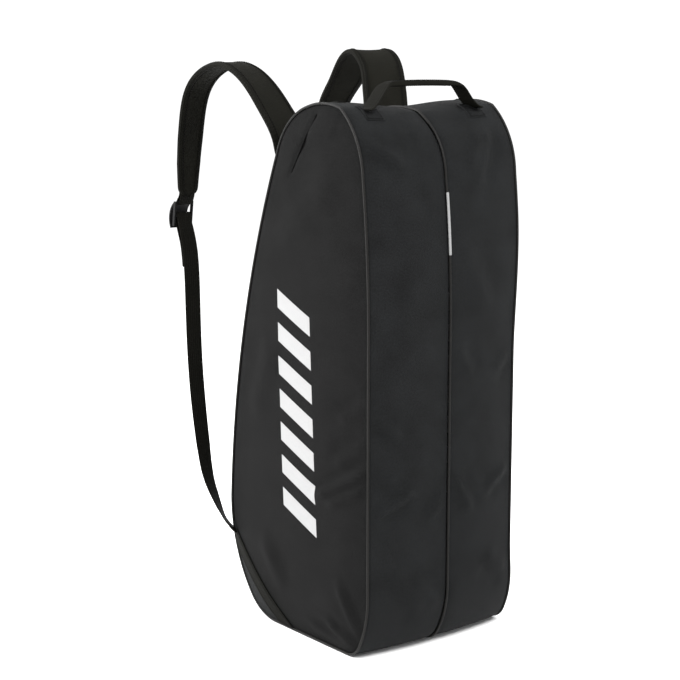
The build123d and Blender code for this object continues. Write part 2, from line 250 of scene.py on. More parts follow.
def shell_part(outer, inner, rest, outward):
    """A closed piece of cloth or foam between two grids of points, joined round the rim, as a part."""
    rows, cols = outer.shape[:2]
    count = rows * cols
    faces = grid_faces(rows, cols)
    rim = list(range(cols)) + [i * cols + cols - 1 for i in range(1, rows)]
    rim += [(rows - 1) * cols + j for j in range(cols - 2, -1, -1)]
    rim += [i * cols for i in range(rows - 2, 0, -1)]
    edge = np.array([(b, a, count + a, count + b) for a, b in zip(rim, rim[1:] + rim[:1])])
    faces = np.concatenate([faces, count + faces[:, ::-1], edge])
    if (grid_normals(outer) * outward).sum() < 0:
        faces = faces[:, ::-1]
    verts = np.concatenate([outer.reshape(-1, 3), inner.reshape(-1, 3)])
    return verts, faces, np.concatenate([rest.reshape(-1, 3)] * 2)


def shell(name, *grids):
    """Such a piece as an object."""
    verts, faces, rest = shell_part(*grids)
    return new_mesh(name, verts, faces.tolist(), rest)


def side_shell(name, sign, outer, inner, rest, outward):
    """Such a piece for one side, from grids drawn on the -X side."""
    flip = (-sign, 1, 1)
    return shell(name, outer * flip, inner * flip, rest, outward)


def subdivided(obj):
    """Subdivides a piece once and smooths it."""
    step = obj.modifiers.new("Subdivision", "SUBSURF")
    step.levels = step.render_levels = 1
    shown = obj.evaluated_get(bpy.context.evaluated_depsgraph_get())
    mesh = bpy.data.meshes.new_from_object(shown)
    mesh.name = obj.name
    obj.modifiers.clear()
    obj.data = mesh
    mesh.polygons.foreach_set("use_smooth", [True] * len(mesh.polygons))
    return obj


def joined(name, parts):
    """One mesh from several (verts, faces, rest) parts."""
    verts, faces, rest, base = [], [], [], 0
    for v, f, r in parts:
        verts.append(np.asarray(v, float).reshape(-1, 3))
        rest.append(np.asarray(r, float).reshape(-1, 3))
        faces += [[base + int(i) for i in face] for face in f]
        base += len(verts[-1])
    return new_mesh(name, np.concatenate(verts), faces, np.concatenate(rest))


def tube(path, radius, sides, closed=False):
    """A round tube along a path in metres, as a part."""
    path = np.asarray(path, float)
    ahead = unit(np.roll(path, -1, 0) - np.roll(path, 1, 0) if closed else np.gradient(path, axis=0))
    side = unit(np.cross(ahead, np.where(np.abs(ahead[:, :1]) > 0.9, (0, 0, 1.0), (1.0, 0, 0))))
    up = np.cross(side, ahead)
    angles = np.linspace(0, 2 * math.pi, sides, endpoint=False)
    ringed = np.cos(angles)[None, :, None] * side[:, None] + np.sin(angles)[None, :, None] * up[:, None]
    verts = path[:, None] + ringed * radius
    faces = grid_faces(len(path), sides, closed_rows=closed, closed_cols=True)[:, ::-1].tolist()
    if not closed:
        faces += [list(range(sides)), [(len(path) - 1) * sides + i for i in reversed(range(sides))]]
    return verts, faces, on_cloth(angles * radius / MM, travelled(path)[:, None] / MM)


BEAD = np.array([(t, c * w, h * w) for t, w in ((-0.5, 0.3), (-0.3, 1), (0.3, 1), (0.5, 0.3))
                 for c, h in ((-0.5, -0.6), (-0.35, 0.8), (0.35, 0.8), (0.5, -0.6))])
BEAD_FACES = grid_faces(4, 4, closed_cols=True).tolist() + [[3, 2, 1, 0], [12, 13, 14, 15]]


def beads(centres, along, across, up, size):
    """Many small rounded beads of the same size (length, width, height), as one part."""
    shape = BEAD * np.array(size)
    verts = centres[:, None] + (shape[None, :, 0, None] * along[:, None]
                                + shape[None, :, 1, None] * across[:, None]
                                + shape[None, :, 2, None] * up[:, None])
    faces = np.array(BEAD_FACES)[None] + len(BEAD) * np.arange(len(centres))[:, None, None]
    if np.mean(np.einsum("ij,ij->i", np.cross(along, across), up)) < 0:
        faces = faces[..., ::-1]
    return verts, faces.reshape(-1, 4), np.repeat(centres, len(BEAD), 0)


STITCH_PITCH, STITCH_SIZE = 3.6, (2.6, 0.9, 0.5)


def stitches(path, normals):
    """A line of stitches along a path in metres that lies on a surface."""
    path, normals = np.asarray(path, float), np.asarray(normals, float)
    reach = travelled(path)
    places = np.arange(STITCH_PITCH * MM / 2, reach[-1], STITCH_PITCH * MM)

    def at(values, d):
        return np.stack([np.interp(d, reach, values[:, k]) for k in range(3)], 1)
    along = unit(at(path, places + MM) - at(path, places - MM))
    across = unit(np.cross(unit(at(normals, places)), along))
    return beads(at(path, places), along, across, np.cross(along, across), np.array(STITCH_SIZE) * MM)


CLOTH_SETTINGS = {
    "quality": 5, "mass": 0.3, "tension_stiffness": 15, "compression_stiffness": 15, "shear_stiffness": 5,
    "bending_stiffness": 0.5, "vertex_group_mass": "held", "use_pressure": True,
}


def swell(name, points, outward, pressure, cap, held=1):
    """Cloth simulation on a grid of points held round its rim: it swells outwards by at most cap
    mm."""
    rows, cols = points.shape[:2]
    faces = grid_faces(rows, cols)
    if (grid_normals(points) * outward).sum() < 0:
        faces = faces[:, ::-1]
    obj = new_mesh(name + "_swelling", points.reshape(-1, 3), faces.tolist(), points.reshape(-1, 3))
    i, j = np.divmod(np.arange(rows * cols), cols)
    rim = (i < held) | (i >= rows - held) | (j < held) | (j >= cols - held)
    group = obj.vertex_groups.new(name="held")
    group.add(np.flatnonzero(rim).tolist(), 1.0, "REPLACE")
    cloth = obj.modifiers.new("Cloth", "CLOTH")
    for key, value in CLOTH_SETTINGS.items():
        setattr(cloth.settings, key, value)
    cloth.settings.uniform_pressure_force = pressure
    cloth.settings.effector_weights.gravity = 0
    cloth.collision_settings.use_collision = False
    for step in range(1, 21):
        bpy.context.scene.frame_set(step)
    shown = obj.evaluated_get(bpy.context.evaluated_depsgraph_get())
    moved = np.empty(rows * cols * 3)
    shown.data.vertices.foreach_get("co", moved)
    bpy.context.scene.frame_set(1)
    bpy.data.objects.remove(obj)
    move = np.nan_to_num(moved.reshape(points.shape) - points)
    size = np.linalg.norm(move, axis=-1)
    limit = cap * MM
    soft = limit * np.tanh(size / limit)
    return points + move * (soft / np.maximum(size, 1e-9))[..., None]


def folds(place, lines):
    """Heights in mm, at places on the flat cloth, of soft creases given as (from, to, width, height)."""
    height = np.zeros(place.shape[:-1])
    for a, b, width, rise in lines:
        a, b = np.array(a, float), np.array(b, float)
        run = b - a
        length = np.linalg.norm(run)
        offset = place - a
        t = offset @ run / length ** 2
        side = (offset[..., 0] * run[1] - offset[..., 1] * run[0]) / length
        fade = np.exp(-np.clip(np.abs(t - 0.5) * 2 - 0.55, 0, None) ** 2 * 9)
        height += rise * fade * (np.exp(-(side / width) ** 2)
                                 - 0.55 * np.exp(-((side - 1.7 * width) / (1.2 * width)) ** 2))
    return height


def split(obj, name, at, along):
    """Cuts a piece by a plane that contains x and the direction along. Its +y end becomes a new piece."""
    along = Vector(along).normalized()
    plane = {"plane_co": Vector(at), "plane_no": Vector((0, along.z, -along.y))}
    other = obj.copy()
    other.data = obj.data.copy()
    other.name = other.data.name = name
    bpy.context.scene.collection.objects.link(other)
    for piece, lose_back in ((obj, True), (other, False)):
        cut = bmesh.new()
        cut.from_mesh(piece.data)
        found = bmesh.ops.bisect_plane(cut, geom=cut.verts[:] + cut.edges[:] + cut.faces[:],
                                       clear_outer=lose_back, clear_inner=not lose_back, **plane)
        edges = [g for g in found["geom_cut"] if isinstance(g, bmesh.types.BMEdge)]
        for edge in edges:
            edge.smooth = False
        bmesh.ops.holes_fill(cut, edges=edges, sides=0)
        cut.to_mesh(piece.data)
        cut.free()
    return other


def on_grid(grid, places):
    """Points and normals of a surface given as a grid, at places (y, z), in metres."""
    flat, normal = grid.reshape(-1, 3), grid_normals(grid).reshape(-1, 3)
    points, normals = [], []
    for place in places:
        near = np.argmin(((flat[:, 1:] - place) ** 2).sum(1))
        n = normal[near]
        points.append((flat[near, 0] - n[1:] @ (place - flat[near, 1:]) / n[0], *place))
        normals.append(n)
    return np.array(points), np.array(normals)


# ---- Materials ----
def node(tree, kind, inputs=None, **settings):
    made = tree.nodes.new("ShaderNode" + kind)
    for key, value in settings.items():
        setattr(made, key, value)
    for key, value in (inputs or {}).items():
        if isinstance(value, bpy.types.NodeSocket):
            tree.links.new(value, made.inputs[key])
        else:
            made.inputs[key].default_value = value
    return made


def calc(tree, operation, a, b=0.0, clamp=False):
    return node(tree, "Math", {0: a, 1: b}, operation=operation, use_clamp=clamp).outputs[0]


def noise(tree, place, scale, detail=3.0, rough=0.5):
    return node(tree, "TexNoise", {"Vector": place, "Scale": scale, "Detail": detail,
                                   "Roughness": rough}).outputs["Fac"]


def mixed(tree, factor, a, b):
    made = node(tree, "Mix", {0: factor, 6: a, 7: b}, data_type="RGBA")
    return made.outputs[2]


NEUTRAL, COOL, WARM, OLIVE = (1.0, 1.0, 1.0), (0.93, 1.0, 1.05), (1.04, 1.0, 0.9), (1.03, 1.0, 0.74)


def grey(value, tint=NEUTRAL):
    return tuple(value * t for t in tint) + (1,)


def material(name, **constants):
    mat = bpy.data.materials.new(name)
    mat.use_nodes = True
    shader = mat.node_tree.nodes["Principled BSDF"]
    for key, value in constants.items():
        shader.inputs[key.replace("_", " ").title().replace("Ior", "IOR")].default_value = value
    return mat, mat.node_tree, shader


# The printed bars: their column's middle and lean, their slant, and their sizes in metres
COLUMN_Y, COLUMN_LEAN, BAR_SLANT = 0.128, 0.047, -0.42
BAR_START, BAR_PITCH, BAR_HALF, BAR_SHARE, BARS = 0.172, 0.0465, 0.037, 0.56, 7


def stripes(tree, y, z):
    """The printed column of slanted bars, as a mask over the cloth's (y, z)."""
    middle = calc(tree, "SUBTRACT", y, calc(tree, "ADD", COLUMN_Y, calc(tree, "MULTIPLY", z, COLUMN_LEAN)))
    rise = calc(tree, "ADD", z, calc(tree, "MULTIPLY", middle, BAR_SLANT))
    count = calc(tree, "DIVIDE", calc(tree, "SUBTRACT", rise, BAR_START), BAR_PITCH)
    begun, unfinished = calc(tree, "GREATER_THAN", count, 0), calc(tree, "LESS_THAN", count, BARS)
    inside = calc(tree, "MULTIPLY", begun, unfinished)
    narrow = calc(tree, "LESS_THAN", calc(tree, "ABSOLUTE", middle), BAR_HALF)
    bar = calc(tree, "LESS_THAN", calc(tree, "FRACT", count), BAR_SHARE)
    return calc(tree, "MULTIPLY", calc(tree, "MULTIPLY", inside, narrow), bar)


def fabric(name, dark, light, rough, thread, relief, sheen, shine, tint=NEUTRAL, printed=False, ribs=False):
    """Woven cloth: threads, slubs and faint blotches laid out on the cloth attribute."""
    mat, tree, shader = material(name, sheen_weight=sheen, sheen_roughness=0.45, specular_ior_level=shine)
    place = node(tree, "Attribute", attribute_name="cloth").outputs["Vector"]
    flat = node(tree, "SeparateXYZ", {0: place})
    turn = 2 * math.pi / (thread * MM)
    across = calc(tree, "SINE", calc(tree, "MULTIPLY", flat.outputs[0], turn * (0.5 if ribs else 1)))
    along = calc(tree, "SINE", calc(tree, "MULTIPLY", flat.outputs[1], turn * (0.35 if ribs else 1)))
    if ribs:
        weave = calc(tree, "ADD", across, calc(tree, "MULTIPLY", along, 0.4))
    else:
        weave = calc(tree, "MULTIPLY", across, along)
    slub = noise(tree, place, 420, 3.0, 0.65)
    blotch = noise(tree, place, 22, 5.0, 0.55)
    tone = calc(tree, "ADD", calc(tree, "MULTIPLY", blotch, 0.5), calc(tree, "MULTIPLY", slub, 0.8))
    tone = calc(tree, "MULTIPLY", calc(tree, "SUBTRACT", tone, 0.65), 1.8)
    tone = calc(tree, "ADD", calc(tree, "MULTIPLY", weave, 0.12), calc(tree, "ADD", tone, 0.5), clamp=True)
    colour = mixed(tree, tone, grey(dark, tint), grey(light, tint))
    sheer = node(tree, "MapRange", {0: blotch, 3: rough - 0.08, 4: rough + 0.08}).outputs[0]
    height = calc(tree, "ADD", calc(tree, "MULTIPLY", weave, 0.5), slub)
    if printed:
        mask = stripes(tree, flat.outputs[0], flat.outputs[1])
        ink = mixed(tree, slub, grey(0.31), grey(0.36))
        colour = mixed(tree, mask, colour, ink)
        height = calc(tree, "ADD", height, calc(tree, "MULTIPLY", mask, 0.8))
    bump = node(tree, "Bump", {"Height": height, "Strength": relief, "Distance": 0.0006})
    tree.links.new(colour, shader.inputs["Base Color"])
    tree.links.new(sheer, shader.inputs["Roughness"])
    tree.links.new(bump.outputs[0], shader.inputs["Normal"])
    return mat


def moulded(name, dark, light, rough, metallic=0.0, grain=900, shine=0.5):
    """Moulded plastic or cast metal, with a fine grain and a slightly uneven gloss."""
    mat, tree, shader = material(name, metallic=metallic, specular_ior_level=shine)
    place = node(tree, "TexCoord").outputs["Object"]
    fine = noise(tree, place, grain, 2.0)
    broad = noise(tree, place, 60, 3.0)
    sheer = node(tree, "MapRange", {0: broad, 3: rough - 0.07, 4: rough + 0.09}).outputs[0]
    bump = node(tree, "Bump", {"Height": fine, "Strength": 0.15, "Distance": 0.0002})
    tree.links.new(mixed(tree, broad, grey(dark), grey(light)), shader.inputs["Base Color"])
    tree.links.new(sheer, shader.inputs["Roughness"])
    tree.links.new(bump.outputs[0], shader.inputs["Normal"])
    return mat


# The darkest and lightest colour, roughness, thread in mm, relief, sheen, shine and tint of each cloth
SIDE_CLOTH = fabric("side_cloth", 0.0004, 0.0086, 0.72, 1.1, 0.9, 0.006, 0.048, printed=True)
GUSSET_CLOTH = fabric("gusset_cloth", 0.001, 0.0105, 0.68, 0.9, 0.6, 0.008, 0.07, COOL)
LINING = fabric("lining", 0.02, 0.035, 0.7, 1.4, 0.3, 0.02, 0.12, COOL)
PIPING_CLOTH = fabric("piping_cloth", 0.003, 0.007, 0.45, 0.8, 0.3, 0.005, 0.12, WARM)
WEBBING_CLOTH = fabric("webbing_cloth", 0.002, 0.0055, 0.65, 1.6, 0.9, 0.0, 0.04, OLIVE, ribs=True)
PAD_CLOTH = fabric("pad_cloth", 0.003, 0.009, 0.75, 1.2, 0.8, 0.0, 0.05, OLIVE)
TAPE_CLOTH = fabric("tape_cloth", 0.002, 0.005, 0.75, 0.9, 0.7, 0.0, 0.05, ribs=True)
REFLECTIVE = fabric("reflective", 0.16, 0.24, 0.35, 0.7, 0.2, 0.0, 0.4)
THREAD = fabric("thread", 0.001, 0.003, 0.6, 0.5, 0.4, 0.0, 0.03)
COIL = moulded("coil", 0.002, 0.005, 0.35, shine=0.2)
BUCKLE = moulded("buckle", 0.003, 0.007, 0.55, grain=1500, shine=0.08)
METAL = moulded("gunmetal", 0.05, 0.09, 0.32, metallic=1.0)
BOARD = moulded("board", 0.02, 0.04, 0.5)


def piece(obj, slot, mats, body=None, bend=None, stands_for=(), fill=None):
    """Gives a piece its material, hides the CAD nodes that it stands for, and hangs it on its body unless it
    is given a bend, when it is only fixed where it stands. Its slot is not used.
    """
    obj.data.materials.clear()
    if body != "grab_handle":
        spread(obj)
    for mat in mats if isinstance(mats, (list, tuple)) else [mats]:
        obj.data.materials.append(mat)
    if stands_for:
        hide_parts(*stands_for)
    if bend:
        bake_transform(obj)
    else:
        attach(obj, body)
    return obj


def flap_bend(side):
    """How everything on a flap is meant to move: the cloth bending over the 21 cm above the zip's lower end.
    piece() only fixes such pieces where they stand.
    """
    return "bag", side + "_flap", (0, 0, FLAP_LOW), (0, 0, FLAP_LOW + 0.21)


def set_faces(obj, test, index):
    """Gives the faces whose centre and normal pass the test the material of that index."""
    for face in obj.data.polygons:
        if test(face.center, face.normal):
            face.material_index = index


# ---- Side panels: foam between cloth and lining, zipped along the back, with a dart at the crown ----
def panel_grid(inset, rows, cols):
    """(y, z) over the whole profile: rows go up, columns go from the front to the back."""
    u, v = np.linspace(0, 1, cols)[None, :, None], np.linspace(0, 1, rows)[:, None, None]

    def run(a, b, t):
        point, normal = loop_at(a + (b - a) * t[..., 0])
        return point - normal * inset
    low, top = run(S_TOE, S_HEEL, u), run(S_FRONT_CORNER, S_BACK_CORNER, u)
    fore, aft = run(S_TOE + LOOP_LENGTH, S_FRONT_CORNER, v), run(S_HEEL, S_BACK_CORNER, v)
    low_chord, top_chord = ((1 - u) * row[:, :1] + u * row[:, -1:] for row in (low, top))
    return (1 - v) * low + v * top + (1 - u) * fore + u * aft - ((1 - v) * low_chord + v * top_chord)


def from_edge(flat):
    """Distance in mm of each (y, z) from the outline."""
    return np.sqrt(((flat[:, :, None] - LOOP[None, None]) ** 2).sum(-1)).min(-1)


DART = np.array([(111, 733), (128, 706), (146, 678), (163, 654)], float)
SIDE_FOLDS = {
    "left": [((104, 214), (2, 266), 7, 2.0), ((80, 207), (8, 240), 6, 1.6), ((62, 268), (4, 300), 9, 1.1),
             ((84, 40), (16, 14), 6, 1.7), ((58, 105), (10, 24), 7, 1.5), ((130, 26), (28, 10), 6, 1.1),
             ((52, 330), (8, 352), 8, 0.9), ((190, 560), (60, 640), 26, 1.3),
             ((250, 300), (200, 420), 22, 1.2), ((150, 690), (60, 690), 12, -0.8),
             ((232, 130), (180, 60), 14, 1.0)],
    "right": [((110, 250), (4, 300), 8, 1.8), ((90, 180), (6, 224), 7, 1.4), ((84, 44), (16, 16), 6, 1.6),
              ((64, 120), (12, 26), 8, 1.3), ((210, 520), (70, 610), 24, 1.4),
              ((270, 250), (190, 330), 16, 1.3), ((48, 400), (6, 424), 8, 1.0),
              ((226, 120), (170, 56), 14, 1.0)],
}
PANEL_ROWS, PANEL_COLS, PANEL_INSET = 126, 50, 2.4
PANEL_OUT, PANEL_IN, PANEL_ROUND = 128.4, 126.6, 2.6
PILLOW, SIDE_FOLD_RISE, DART_DEPTH = 6.0, 3.4, 3.6

panel_flat = panel_grid(PANEL_INSET, PANEL_ROWS, PANEL_COLS)
panel_depth = from_edge(panel_flat) - PANEL_INSET
panel_rise = PANEL_ROUND * (1 - np.exp(-panel_depth / 5))
panel_out, panel_in = (lift(np.concatenate([-x[..., None], panel_flat], -1))
                       for x in (PANEL_OUT + panel_rise, PANEL_IN - panel_rise))
panel_rest = on_cloth(panel_flat[..., 0], panel_flat[..., 1])
panel_swollen = swell("side_panel", panel_out, (-1, 0, 0), 6.0, 9.0)
dart_gap = np.min([np.linalg.norm(panel_flat - (a + (b - a) * t), axis=-1)
                   for a, b in zip(DART, DART[1:]) for t in np.linspace(0, 1, 8)], axis=0)
pillow = PILLOW * (1 - np.exp(-panel_depth / 35)) - DART_DEPTH * np.exp(-(dart_gap / 4) ** 2)
calm = 1 - np.exp(-panel_depth / 7)
fold_at = (0, FRONT_Y + FOLD_LOW[0] * MM, FOLD_LOW[1] * MM)
fold_dir = (0, FOLD_TOP[0] - FOLD_LOW[0], FOLD_TOP[1] - FOLD_LOW[1])
side_outer = {}
for side, sign in SIDES.items():
    bulge = pillow + SIDE_FOLD_RISE * folds(panel_flat, SIDE_FOLDS[side]) * calm
    outer = (panel_swollen - np.stack([bulge, 0 * bulge, 0 * bulge], -1) * MM) * (-sign, 1, 1)
    inner = panel_in * (-sign, 1, 1)
    side_outer[side] = outer
    panel = subdivided(shell(side + "_side_corner", outer, inner, panel_rest, (sign, 0, 0)))
    flap = split(panel, side + "_side_panel", fold_at, fold_dir)
    for obj in (panel, flap):
        set_faces(obj, lambda centre, normal: abs(centre.x) < 0.1275, 1)
    piece(panel, "side_cloth", [SIDE_CLOTH, LINING], "bag", stands_for=[side + "_side_panel_front"], fill=0.3)
    piece(flap, "side_cloth", [SIDE_CLOTH, LINING], bend=flap_bend(side), fill=0.3,
          stands_for=[side + "_side_panel_low", side + "_flap_cloth", side + "_flap_foam"])
    path, normals = on_grid(outer, DART * MM + (FRONT_Y, 0))
    above = normals * sign * np.sign(normals[:, :1]) * 0.9 * MM
    thread = joined(side + "_dart", [tube(path + above, 1.2 * MM, 8)])
    piece(thread, "side_cloth", THREAD, bend=flap_bend(side))


HEEL_ROWS, HEEL_CHORD = 34, np.array([(168, 2), (309, 121)])
BAND_WIDTH, BAND_SEAM = 23.0, 3.0


def add_heel(side, sign):
    """The patch over the heel's corner, and the webbing sewn along its edge with two rows of stitches."""
    outer = side_outer[side][:HEEL_ROWS]
    normal = facing(outer, (sign, 0, 0))
    patch = subdivided(shell("heel_" + side, outer + normal * 0.9 * MM, outer - normal * 0.6 * MM,
                             panel_rest[:HEEL_ROWS], (sign, 0, 0)))
    chord = HEEL_CHORD * MM + (FRONT_Y, 0)
    keep = split(patch, "heel_patch_" + side, (0, *chord[0]), (0, *(chord[1] - chord[0])))
    bpy.data.objects.remove(patch)
    run = chord[0] + (chord[1] - chord[0]) * np.linspace(0.01, 0.995, 44)[:, None]
    sink = np.array([1, -1]) * math.sqrt(0.5) * MM
    steps = np.arange(0, BAND_WIDTH, 0.5)
    clear = from_edge((run[:, None] - (FRONT_Y, 0) + sink * steps[:, None]) / MM) > BAND_SEAM
    wide = np.where(clear.all(1), steps[-1], steps[np.argmin(clear, axis=1)]).clip(2 * BAND_SEAM)
    places = run[:, None] + sink * (wide[:, None] * np.linspace(-0.04, 1, 7))[..., None]
    places[..., 1] = np.maximum(places[..., 1], 1.5 * MM)
    flat, out = on_grid(side_outer[side], places.reshape(-1, 2))
    out = out * np.sign(out @ (sign, 0, 0))[:, None]
    flat, out = flat.reshape(places.shape[:2] + (3,)), out.reshape(places.shape[:2] + (3,))
    rest = np.concatenate([places, 0 * places[..., :1]], -1)
    edging = subdivided(shell("heel_band_" + side, flat + out * 2.4 * MM, flat + out * 0.4 * MM, rest,
                              (sign, 0, 0)))
    rows_sewn = [stitches(flat[:, column] + out[:, column] * 2.4 * MM, out[:, column]) for column in (1, 5)]
    return keep, edging, rows_sewn


heel_stitches = []
for side, sign in SIDES.items():
    patch, edging, sewn = add_heel(side, sign)
    heel_stitches += sewn
    piece(patch, "heel_cloth", GUSSET_CLOTH, "bag", stands_for=["heel_patches"])
    piece(edging, "webbing", WEBBING_CLOTH, "bag")
piece(joined("heel_stitching", heel_stitches), "heel_cloth", THREAD, "bag")


# ---- Gussets: the walls between the side panels, in halves that meet at the middle piping ----
def strip(s, x_in, x_out, cols, tuck=1.9):
    """A grid along the outline in mm: rows at distances s, columns from x_in out to x_out.
    Its edges are tucked in under the piping."""
    s = np.asarray(s, float)
    x_out = np.broadcast_to(x_out, s.shape)
    share = np.linspace(0, 1, cols)
    x = -(x_in + (x_out - x_in)[:, None] * share)
    edge = np.minimum(np.abs(x) - x_in, x_out[:, None] - np.abs(x))
    inset = tuck * np.exp(-edge / 4) + 0.3
    for end in (0, -1):
        inset = inset + 0.9 * np.exp(-np.abs(s - s[end]) / 3)[:, None]
    return ring(s[:, None], inset, x), on_cloth(x, s[:, None])


def rows_between(a, b, pitch=6.0):
    return np.linspace(a, b, max(3, int(abs(b - a) / pitch)))


def sheet_between(name, s, reach, cap, pressure, creases, nodes):
    """Both halves of one gusset panel: rows at distances s, reaching out to x = reach on each row."""
    points, rest = strip(s, SEAM, reach, 21)
    outward = np.broadcast_to(ring_normal(s)[:, None], points.shape)
    grown = lift(points) if cap == 0 else swell(name, lift(points), outward, pressure, cap)
    calm = 1 - np.exp(-edge_of(points, reach) / 8)
    height = np.where(points[..., 1] < CROWN_Y, points[..., 2], 2 * CROWN_Z - points[..., 2])
    for side, sign in SIDES.items():
        ruffle = folds(np.stack([points[..., 0], height], -1), creases.get(side, []))
        outer = grown + outward * (FRONT_FOLD_RISE * ruffle * calm)[..., None] * MM
        outer[..., 2] = np.maximum(outer[..., 2], BASE_CLEAR_OUT)
        inner = outer - facing(outer, outward) * GUSSET_THICK * MM
        inner[..., 2] = np.maximum(inner[..., 2], BASE_CLEAR_IN)
        half = subdivided(side_shell(side + "_" + name, sign, outer, inner, rest, outward))
        piece(half, "gusset_cloth", GUSSET_CLOTH, "bag", stands_for=[side + "_" + kind for kind in nodes])


def edge_of(points, reach):
    """Distance of each point in mm from the nearer long edge of its strip."""
    x = np.abs(points[..., 0])
    return np.minimum(x - SEAM, np.broadcast_to(reach, points.shape[:1])[:, None] - x).clip(0)


OUT, SEAM = 128.6, 1.6
# The crown's top, behind which a fold's height counts on upwards as the cloth goes down
CROWN_Y, CROWN_Z = 98, 750
GUSSET_THICK, FRONT_FOLD_RISE = 2.2, 2.2
BASE_CLEAR_OUT, BASE_CLEAR_IN = 0.0004, 0.0012
FRONT_FOLDS = {
    "left": [((-122, 206), (-60, 234), 8, 3.4), ((-121, 330), (-84, 312), 7, 2.4),
             ((-120, 262), (-88, 250), 8, 1.6), ((-118, 696), (-70, 668), 9, 2.6),
             ((-14, 60), (-60, 110), 12, 1.8), ((-10, 210), (-40, 190), 8, 2.0),
             ((-60, 520), (-90, 420), 20, 1.2), ((-12, 730), (-44, 700), 9, 1.6),
             ((-100, 130), (-40, 60), 11, 1.6)],
    "right": [((-120, 240), (-70, 214), 8, 2.4), ((-12, 236), (-44, 190), 8, 2.4),
              ((-12, 420), (-40, 380), 10, 1.6), ((-90, 716), (-52, 640), 9, 2.8),
              ((-72, 712), (-40, 655), 8, 2.0), ((-118, 90), (-70, 120), 12, 1.7),
              ((-20, 560), (-70, 470), 16, 1.2), ((-118, 400), (-84, 380), 8, 1.4)],
}


def stepped(start, end, step_at, wide_first):
    """Rows of a panel that narrows or widens at the end of the zips, and how far out each reaches."""
    s = np.concatenate([rows_between(start, step_at - 0.4), rows_between(step_at + 0.4, end)])
    return s, np.where((s < step_at) == wide_first, OUT, SLOT_IN + 0.4)


sheet_between("front_gusset", *stepped(S_BACK_SEAM, LOOP_LENGTH - 3, S_ZIP_TOP, False), 4.0, 5.0, FRONT_FOLDS,
              ["front_gusset", "top_gusset"])
base_s = rows_between(-3, S_BACK_LOW)
sheet_between("base_gusset", base_s, np.full(len(base_s), OUT), 0, 0, {}, ["base_gusset"])
sheet_between("back_gusset", *stepped(S_BACK_LOW, S_BACK_SEAM, S_ZIP_LOW - 0.9, True), 3.5, 4.0, {},
              ["back_gusset"])


def patch_on(s, x, thick, below, cols):
    """The grids of a flat piece of cloth on the outline, over distances s and across x, for the -X side."""
    grid_s, grid_x = np.meshgrid(s, np.linspace(x[0], x[1], cols), indexing="ij")
    edge = np.minimum(np.minimum(grid_s - s[0], s[-1] - grid_s), np.minimum(grid_x - x[0], x[1] - grid_x))
    crown = thick - 0.5 * np.exp(-edge / 1.2)
    outer, inner = lift(ring(grid_s, -crown, -grid_x)), lift(ring(grid_s, -below, -grid_x))
    return outer, inner, on_cloth(grid_x, grid_s), ring_normal(grid_s)


def frame_stitches(s, x, height, margin):
    """Stitches round the inside of such a patch, for the -X side, in metres."""
    s0, s1 = s[0] + margin, s[-1] - margin
    x0, x1 = x[0] + margin, x[1] - margin
    parts = []
    for a, b in (((s0, x0), (s1, x0)), ((s1, x0), (s1, x1)), ((s1, x1), (s0, x1)), ((s0, x1), (s0, x0))):
        t = np.linspace(0, 1, 12)[:, None]
        run = np.array(a) * (1 - t) + np.array(b) * t
        parts.append(stitches(lift(ring(run[:, 0], -height, -run[:, 1])), ring_normal(run[:, 0])))
    return parts


def flipped(part):
    """A part mirrored to the +X side."""
    verts, faces, rest = part
    return verts * (-1, 1, 1), [face[::-1] for face in faces], rest


def on_side(side, *parts):
    """Parts drawn on the -X side, mirrored where the side is the right one."""
    return [part if side == "left" else flipped(part) for part in parts]


# ---- Flaps' edges, piping, zips ----
flap_s = rows_between(S_ZIP_LOW, S_ZIP_TOP, 5.0)
points, rest = strip(flap_s, SLOT_OUT - 0.4, OUT, 6, 1.2)
outer = lift(points)
outward = np.broadcast_to(ring_normal(flap_s)[:, None], outer.shape)
for side, sign in SIDES.items():
    hem = side_shell(side + "_flap_gusset", sign, outer, outer - outward * 2.4 * MM, rest, outward)
    piece(subdivided(hem), "gusset_cloth", GUSSET_CLOTH, bend=flap_bend(side),
          stands_for=[side + "_flap_gusset"])


def piping(s):
    return tube(lift(ring(s, 2.0, -PIPING_X)), PIPING_R * MM, 12)


body_pipe = piping(rows_between(S_ZIP_TOP, S_ZIP_LOW + LOOP_LENGTH, 4.0))
flap_pipe = piping(rows_between(S_ZIP_LOW, S_ZIP_TOP, 4.0))
for side in SIDES:
    cord = joined(side + "_body_piping", on_side(side, body_pipe))
    piece(cord, "piping", PIPING_CLOTH, "bag", stands_for=[side + "_body_piping"])
    cord = joined(side + "_flap_piping", on_side(side, flap_pipe))
    piece(cord, "piping", PIPING_CLOTH, bend=flap_bend(side), stands_for=[side + "_flap_piping"])

centre_s = np.linspace(0, LOOP_LENGTH, 560, endpoint=False)
centre = tube(lift(ring(centre_s, 1.0, 0.0)), 1.9 * MM, 12, closed=True)
piece(joined("centre_piping_tube", [centre]), "piping", PIPING_CLOTH, "bag", stands_for=["centre_piping"])

strip_s = rows_between(s_near(12, 631), s_near(4, 547), 3.0)
grid_s, grid_a = np.meshgrid(strip_s, np.radians(np.linspace(-72, 72, 9)), indexing="ij")
bright = [lift(ring(grid_s, 1.0 - radius * np.cos(grid_a), radius * np.sin(grid_a) + 0.4))
          for radius in (2.4, 2.0)]
strip_piece = shell("reflective_tape", *bright, on_cloth(grid_a * 2.4, grid_s), (0, -1, 0))
piece(subdivided(strip_piece), "reflective", REFLECTIVE, "bag", stands_for=["reflective_strip"])


TOOTH_PITCH, TOOTH_SIZE = 2.6, np.array([4.4, 1.5, 1.9])
# Where each half of a zip has its tape, and the x of its teeth, its cord and its stitched hem
ZIP_HALVES = (("body", (92.2, 105.2), 0.0, 104.6, 102.6, 98.4),
              ("flap", (106.8, 119.8), TOOTH_PITCH / 2, 107.4, 109.4, 113.6))


